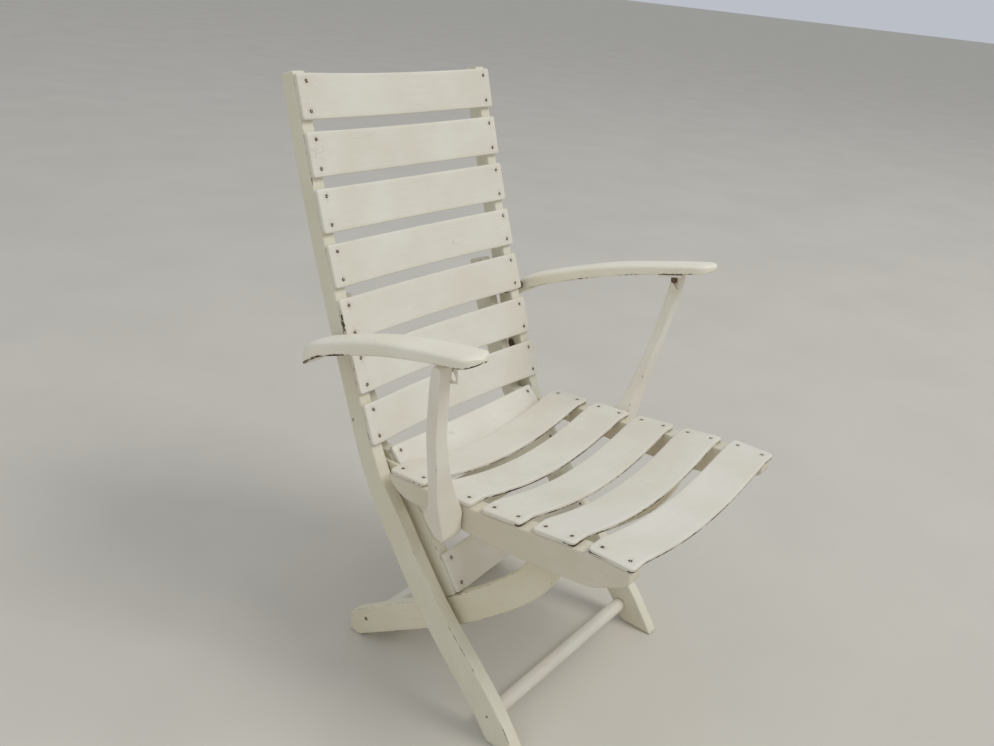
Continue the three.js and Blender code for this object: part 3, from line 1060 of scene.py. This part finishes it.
def new_material(name: str) -> tuple[Material, Graph, bpy.types.Node, Socket]:
    """Starts a material.

    Args:
        name: its name.

    Returns:
        The material, its graph, its Principled shader and the Object coordinates.
    """
    material = bpy.data.materials.new(name)
    material.use_nodes = True
    graph = Graph(material.node_tree)
    place = graph.node("ShaderNodeTexCoord").outputs["Object"]
    return material, graph, material.node_tree.nodes["Principled BSDF"], place


@dataclass(frozen=True)
class WornPaint:
    """Cream gloss paint over dark wood, chipped at edges, cracked and stained round screws."""

    name: str
    grain: Axis
    chips: float
    cracks: float
    colour: Vec3 = from_srgb(229, 224, 209)
    shade: Vec3 = from_srgb(222, 215, 197)
    roughness: float = 0.42
    wood: Vec3 = from_srgb(74, 55, 40)
    primer: Vec3 = from_srgb(196, 186, 164)
    crack_colour: Vec3 = from_srgb(150, 138, 116)
    stain_colour: Vec3 = from_srgb(150, 122, 92)
    primer_share: float = 0.35
    crack_share: float = 0.6
    stain_share: float = 0.7
    stain_limits: Pair = (0.38, 0.66)
    tone_limits: Pair = (0.35, 0.68)
    rough_limits: Pair = (0.3, 0.7)
    rough_range: Pair = (-0.06, 0.1)
    wood_roughness: float = 0.35
    grain_height: float = 0.22
    chip_depth: float = 0.5
    crack_depth: float = 0.25
    bump_strength: float = 0.55
    bump_distance: float = 0.6 * MM

    def build(self) -> Material:
        """Makes the material: two tones, with primer, cracks, stains and bare wood over them.

        Returns:
            The material.
        """
        material, graph, shader, place = new_material(self.name)
        lined = graph.stretched(place, (1.0, 1.0, 1.0), self.grain.turn)
        grain = placed_group(graph, "grain", Vector=lined)
        edge = graph.attribute(EDGE)
        chips = placed_group(graph, "chips", Vector=lined, Edge=edge, Amount=self.chips)
        cracks = placed_group(graph, "hairlines", Vector=lined, Amount=self.cracks)["Mask"]
        speck = graph.between(graph.noise(place, STAIN_SPECK), *self.stain_limits)
        stain = graph.maths("MULTIPLY", graph.attribute(SCREW), speck)
        colour = graph.mix(graph.between(grain["Tone"], *self.tone_limits), self.shade, self.colour)
        for mask, share, over in (
            (chips["Rim"], self.primer_share, self.primer),
            (cracks, self.crack_share, self.crack_colour),
            (stain, self.stain_share, self.stain_colour),
        ):
            colour = graph.mix(graph.maths("MULTIPLY", mask, share), colour, over)
        colour = graph.mix(chips["Mask"], colour, self.wood)
        span = (self.roughness + change for change in self.rough_range)
        rough = graph.between(grain["Height"], *self.rough_limits, *span)
        bare = graph.maths("MULTIPLY", chips["Mask"], self.wood_roughness)
        rough = graph.maths("ADD", rough, bare)
        height = graph.weighted(
            (grain["Height"], self.grain_height),
            (chips["Mask"], -self.chip_depth),
            (cracks, -self.crack_depth),
        )
        normal = graph.bump(height, self.bump_strength, self.bump_distance)
        graph.fill(shader, {"Base Color": colour, "Roughness": rough, "Normal": normal})
        return material


@dataclass(frozen=True)
class RustySteel:
    """Old dark steel of screws, bolts and plates, with rust that is rough and hardly metallic."""

    name: str
    steel: Vec3 = from_srgb(122, 112, 98)
    rust: Vec3 = from_srgb(98, 70, 50)
    metallic: Pair = (0.9, 0.1)
    roughness: Pair = (0.48, 0.85)
    bump_strength: float = 0.4
    bump_distance: float = 0.2 * MM

    def build(self) -> Material:
        """Makes the material, with the steel's value first in each pair and the rust's second.

        Returns:
            The material.
        """
        material, graph, shader, place = new_material(self.name)
        rust = placed_group(graph, "rust", Vector=place)
        mask = rust["Mask"]
        metallic, rough = (
            graph.between(mask, 0.0, 1.0, *pair) for pair in (self.metallic, self.roughness)
        )
        colour = graph.mix(mask, self.steel, self.rust)
        normal = graph.bump(rust["Height"], self.bump_strength, self.bump_distance)
        graph.fill(shader, {"Base Color": colour, "Metallic": metallic})
        graph.fill(shader, {"Roughness": rough, "Normal": normal})
        return material


class Finishes:
    """The chair's materials, each made once; most cream tones also hold painted light and shade."""

    def __init__(self) -> None:
        """Builds every finish."""
        self.slats = WornPaint("cream_paint_slats", Axis.ALONG_X, 0.06, 0.35).build()
        # Yellower than the slats' cream: painted warm floor bounce on the boards.
        board_tones_painted_bounce = from_srgb(229, 224, 203), from_srgb(222, 215, 190)
        self.boards = WornPaint(
            "cream_paint_boards_painted_bounce", Axis.BACK_BOARD, 0.24, 0.3, *board_tones_painted_bounce, roughness=0.34
        ).build()
        # Yellower than the slats' cream: painted warm floor bounce on the legs.
        leg_tones_painted_bounce = from_srgb(229, 222, 196), from_srgb(222, 213, 184)
        self.legs = WornPaint("cream_paint_legs_painted_bounce", Axis.REAR_LEG, 0.45, 0.35, *leg_tones_painted_bounce).build()
        # Lighter than the slats' cream: painted light on the armrests.
        arm_tones_painted_light = from_srgb(243, 237, 219), from_srgb(237, 230, 208)
        self.arms = WornPaint("cream_paint_arms_painted_light", Axis.ALONG_Y, 0.36, 0.35, *arm_tones_painted_light).build()
        # Darker and yellower than the slats' cream: painted shade and floor bounce on the rails.
        rail_tones_painted_shade = from_srgb(222, 215, 194), from_srgb(215, 206, 182)
        self.rails = WornPaint("cream_paint_rails_painted_shade", Axis.ALONG_Y, 0.1, 0.3, *rail_tones_painted_shade).build()
        # Slightly lighter than the slats' cream: painted light on the supports.
        support_tones_painted_light = from_srgb(236, 231, 215), from_srgb(229, 222, 204)
        self.supports = WornPaint(
            "cream_paint_supports_painted_light", Axis.SUPPORT, 0.1, 0.3, *support_tones_painted_light
        ).build()
        self.steel = RustySteel("rusty_steel").build()


# Sub-assemblies.


def finish_piece(piece: Piece, body: str, slot: str, material: Material, *nodes: str) -> None:
    """Dresses a piece, puts it on its body and hides the nodes that it stands for.

    Args:
        piece: the new piece.
        body: the body that it moves with.
        slot: its slot in the record; not used.
        material: its finish.
        *nodes: the frame nodes that it replaces.
    """
    piece.data.materials.append(material)
    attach(piece, body)
    if nodes:
        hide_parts(*nodes)
    log.info("%s rides on %s", piece.name, body)


def dress_node(node: str, material: Material) -> None:
    """Gives a frame node that stays a finish.

    Args:
        node: the frame node.
        material: its finish.
    """
    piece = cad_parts[node]
    for holder in piece.material_slots:
        holder.link = "OBJECT"
        holder.material = material
    log.info("%s keeps its own shape", node)


def dress_board(node: str, body: str, material: Material) -> None:
    """Replaces a frame node with a painted board of the same outline and eased edges."""
    board = BoardShape().build(f"{node}_round", node)
    finish_piece(board, body, PAINTED, material, node)


def place_screws(name: str, spots: Sequence[ScrewSpot], body: str, steel: Material) -> None:
    """Makes a sub-assembly's screw heads as one piece of steel on its body."""
    finish_piece(ScrewShape().build(name, spots), body, STEEL, steel)


@dataclass(frozen=True)
class SlatRow:
    """A row of bent slats and the screws through their ends."""

    prefix: str
    first: int
    last: int
    body: str
    screw_x: float
    seed: int
    shape: SlatShape = SlatShape()
    sink: float = 0.55 * MM

    def build(self, finishes: Finishes) -> None:
        """Makes the slats and one piece with all their screws.

        Args:
            finishes: the chair's materials.
        """
        random = np.random.default_rng(self.seed)
        spots: list[ScrewSpot] = []
        for number in range(self.first, self.last + 1):
            node = f"{self.prefix}_{number}"
            place = read_slat(node)
            piece = self.shape.build(f"{node}_bent", place, self.screw_x)
            finish_piece(piece, self.body, PAINTED, finishes.slats, node)
            spots.extend(self.screws_of(place, random))
        place_screws(f"{self.prefix}_screws", spots, self.body, finishes.steel)

    def screws_of(self, place: SlatPlace, random: np.random.Generator) -> list[ScrewSpot]:
        """Four screws of a slat, two at each end, with their slots turned at random.

        Args:
            place: where the slat lies.
            random: the row's random numbers.

        Returns:
            The screws.
        """
        lift = place.middle - self.sink + place.bend(self.screw_x, self.shape.bow_power)
        out = (0.0, float(place.out[0]), float(place.out[1]))
        spots = []
        for side in Side:
            for row in (-1, 1):
                away = place.along * row * self.shape.screw_spacing / 2
                y, z = place.centre + away + place.out * lift
                at = (side.value * self.screw_x, float(y), float(z))
                spots.append(ScrewSpot(at, out, float(random.uniform(0, math.pi))))
        return spots


@dataclass(frozen=True)
class RoundBar:
    """A round stretcher whose radius eases in at both ends."""

    end_length: float = 2.0 * MM
    end_steps: int = 6
    plain_gap: float = 20.0 * MM
    plain_steps: int = 30
    around: int = 36
    end_size: float = 0.86
    end_wear: float = 0.5

    def build(self, name: str, node: str) -> Piece:
        """Circles along X, which near the ends grow as sqrt(1 - (1 - g)^2), with g from 0 to 1.

        Args:
            name: the new piece's name.
            node: the frame node, whose box is the same on both sides of X = 0.

        Returns:
            The object.
        """
        low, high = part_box(node)
        ease = 1 - np.cos(np.linspace(0, math.pi / 2, self.end_steps))
        ends = low.x + self.end_length * ease
        plain = np.linspace(low.x + self.plain_gap, high.x - self.plain_gap, self.plain_steps)
        xs = np.concatenate([ends, plain, -ends[::-1]])
        gap = np.clip(np.minimum(xs - low.x, high.x - xs) / self.end_length, 0.0, 1.0)
        grown = self.end_size + (1 - self.end_size) * np.sqrt(1 - (1 - gap) ** 2)
        size = (high.z - low.z) / 2 * grown[:, None]
        turn = np.linspace(0, 2 * math.pi, self.around, endpoint=False)
        ys = (low.y + high.y) / 2 + size * np.cos(turn)
        zs = (low.z + high.z) / 2 + size * np.sin(turn)
        edge = np.repeat(self.end_wear * (1 - gap), len(turn))
        return ring_piece(name, along_x(xs, np.stack([ys, zs], axis=2)), edge)


@dataclass(frozen=True)
class BackFrame:
    """Outer boards, back slats and the round stretcher between the front legs."""

    body: str = "back_frame"
    slats: SlatRow = SlatRow("back_slat", 1, 7, "back_frame", screw_x=209.0 * MM, seed=3)
    board_screws: tuple[Pair, ...] = ((-0.1526, 0.049), (0.1754, 0.455))
    screw_turn: float = 0.7
    screw_sink: float = 0.2 * MM

    def build(self, finishes: Finishes) -> None:
        """Makes the back frame's pieces.

        Args:
            finishes: the chair's materials.
        """
        for side in Side:
            dress_board(f"outer_board_{side.word}", self.body, finishes.boards)
            for stem in ("pivot_plate", "arm_bolt"):
                dress_node(f"{stem}_{side.word}", finishes.steel)
        self.slats.build(finishes)
        bar = RoundBar().build("front_stretcher_round", "front_stretcher")
        finish_piece(bar, self.body, PAINTED, finishes.slats, "front_stretcher")
        spots = face_screws("outer_board", self.board_screws, self.screw_turn, self.screw_sink)
        place_screws("outer_board_screws", spots, self.body, finishes.steel)


@dataclass(frozen=True)
class SeatFrame:
    """Rear legs, inner stiles, seat rails and the slats of both."""

    body: str = "seat_frame"
    # Heavier lower-edge chips on the seat slats: partly real wear, partly painted shade in the gaps
    # under them.
    seat_shape: SlatShape = SlatShape(corner_radius=8.0 * MM, lower_edge_weight=1.18)
    seat_slats: SlatRow = SlatRow("seat_slat", 1, 5, "seat_frame", 215.0 * MM, 5, seat_shape)
    low_slats: SlatRow = SlatRow("low_slat", 8, 10, "seat_frame", screw_x=175.0 * MM, seed=7)
    leg_screws: tuple[Pair, ...] = ((0.1584, 0.045),)
    screw_turn: float = 0.4
    bracket_shape: BoardShape = BoardShape(0.8 * MM, outline_step=2.0 * MM, softness=1.2 * MM)

    def build(self, finishes: Finishes) -> None:
        """Makes the seat frame's pieces.

        Args:
            finishes: the chair's materials.
        """
        for side in Side:
            for stem, finish in (
                ("rear_leg", finishes.legs),
                ("inner_stile", finishes.boards),
                ("seat_rail", finishes.rails),
                ("rail_spacer", finishes.rails),
            ):
                dress_board(f"{stem}_{side.word}", self.body, finish)
            bracket = f"pivot_bracket_{side.word}"
            piece = self.bracket_shape.build(f"{bracket}_eased", bracket)
            finish_piece(piece, self.body, PAINTED_STEEL, finishes.rails, bracket)
            dress_node(f"support_bolt_{side.word}", finishes.steel)
        for node in ("rear_stretcher", "stop_rail"):
            dress_board(node, self.body, finishes.slats)
        self.seat_slats.build(finishes)
        self.low_slats.build(finishes)
        spots = face_screws("rear_leg", self.leg_screws, self.screw_turn, 0.0)
        place_screws("rear_leg_screws", spots, self.body, finishes.steel)


@dataclass(frozen=True)
class Arm:
    """One armrest with its support and fittings."""

    side: Side
    armrest_shape: BarShape = BarShape(
        3.2, 12.0, 24.0 * MM, 9.0 * MM, around=48, spread=7.0 * MM, lower_edge_weight=1.35
    )
    support_shape: BarShape = BarShape(
        12.0, 12.0, 2.5 * MM, 2.5 * MM, around=56, spread=2.0 * MM, lower_edge_weight=1.0
    )

    def build(self, finishes: Finishes) -> None:
        """Makes the armrest and its support.

        Args:
            finishes: the chair's materials.
        """
        word = self.side.word
        armrest, support = f"armrest_{word}", f"arm_support_{word}"
        shape = self.armrest_shape
        piece = shape.build(f"{armrest}_round", armrest, REARWARD, ACROSS, UPWARD)
        finish_piece(piece, f"arm_{word}", PAINTED, finishes.arms, armrest)
        way = box_centre(f"slide_pin_{word}") - box_centre(f"support_bolt_{word}")
        axis = Vector((0.0, way.y, way.z)).normalized()
        shape = self.support_shape
        piece = shape.build(f"{support}_round", support, axis, ACROSS, axis.cross(ACROSS))
        finish_piece(piece, f"support_{word}", PAINTED, finishes.supports, support)
        dress_node(f"slide_plate_{word}", finishes.supports)
        dress_node(f"slide_pin_{word}", finishes.steel)


# Studio.


@dataclass(frozen=True)
class Lamp:
    """A square soft lamp: its place, the length of its side in metres and its power in watts."""

    name: str
    at: Vec3
    size: float
    power: float

    def build(self, target: Vector) -> None:
        """Makes the lamp.

        Args:
            target: the place that it is aimed at.
        """
        lamp = bpy.data.lights.new(self.name, "AREA")
        lamp.size = self.size
        lamp.energy = self.power
        holder = bpy.data.objects.new(self.name, lamp)
        holder.location = self.at
        aim = target - Vector(self.at)
        holder.rotation_euler = aim.to_track_quat("-Z", "Y").to_euler()
        bpy.context.scene.collection.objects.link(holder)


@dataclass(frozen=True)
class Studio:
    """Pale floor, soft light and the camera at the photograph's angle."""

    floor_colour: Vec3 = from_srgb(205, 199, 186)
    floor_paler: float = 1.05
    floor_roughness: float = 0.9
    floor_limits: Pair = (0.3, 0.7)
    floor_half: float = 60.0
    floor_drop: float = 0.4 * MM
    air_colour: Vec3 = from_srgb(214, 219, 228)
    air_strength: float = 0.74
    lamps: tuple[Lamp, ...] = (
        Lamp("key_light", (2.2, -5.2, 8.2), size=4.0, power=345.0),
        Lamp("side_light", (-2.8, 0.2, 2.5), size=2.2, power=9.0),
    )
    chair_middle: Vec3 = (0.0, 0.0, 0.45)
    camera_at: Vec3 = (-1.157, -0.7776, 1.141)
    azimuth: float = math.radians(-54.0)
    elevation: float = math.radians(23.7)
    roll: float = math.radians(6.1)
    lens: float = 33.17
    sensor_width: float = 36.0
    clip: Pair = (0.01, 100.0)

    def build(self) -> None:
        """Makes the floor, the air, the lamps and the camera."""
        self.build_floor()
        self.build_air()
        for lamp in self.lamps:
            lamp.build(Vector(self.chair_middle))
        self.build_camera()

    def build_floor(self) -> None:
        """A plain matt floor with a very slight mottle, just under the feet."""
        corners = np.array([[-1, -1, 0], [1, -1, 0], [1, 1, 0], [-1, 1, 0]]) * self.floor_half
        floor = make_mesh("floor", corners - [0, 0, self.floor_drop], [[0, 1, 2, 3]])
        material, graph, shader, place = new_material("floor_matt")
        cloud = graph.between(graph.noise(place, FLOOR_CLOUD), *self.floor_limits)
        paler = tuple(min(1.0, part * self.floor_paler) for part in self.floor_colour)
        colour = graph.mix(cloud, self.floor_colour, paler)
        graph.fill(shader, {"Base Color": colour, "Roughness": self.floor_roughness})
        floor.data.materials.append(material)

    def build_air(self) -> None:
        """Even pale surroundings."""
        world = bpy.data.worlds.new("pale_air")
        world.use_nodes = True
        sky = world.node_tree.nodes["Background"]
        Graph(world.node_tree).fill(sky, {"Color": self.air_colour, "Strength": self.air_strength})
        bpy.context.scene.world = world

    def build_camera(self) -> None:
        """The camera, turned by its azimuth, elevation and roll."""
        level, height = math.cos(self.elevation), math.sin(self.elevation)
        east, south = math.sin(self.azimuth) * level, -math.cos(self.azimuth) * level
        back = Vector((east, south, height))
        right = (-back).cross(UPWARD).normalized()
        up = right.cross(-back)
        across = right * math.cos(self.roll) + up * math.sin(self.roll)
        upright = up * math.cos(self.roll) - right * math.sin(self.roll)
        turned = Matrix((across, upright, back)).transposed().to_4x4()
        data = bpy.data.cameras.new("photo_camera")
        data.sensor_width = self.sensor_width
        data.lens = self.lens
        data.clip_start, data.clip_end = self.clip
        camera = bpy.data.objects.new("photo_camera", data)
        camera.matrix_world = Matrix.Translation(self.camera_at) @ turned
        bpy.context.scene.collection.objects.link(camera)
        bpy.context.scene.camera = camera


def main() -> None:
    """Builds the chair and its studio in order."""
    logging.basicConfig(level=logging.INFO, format="%(name)s: %(message)s")
    bpy.context.scene.view_settings.view_transform = "Standard"
    finishes = Finishes()
    BackFrame().build(finishes)
    SeatFrame().build(finishes)
    for side in Side:
        Arm(side).build(finishes)
    Studio().build()


if __name__ == "__main__":
    main()
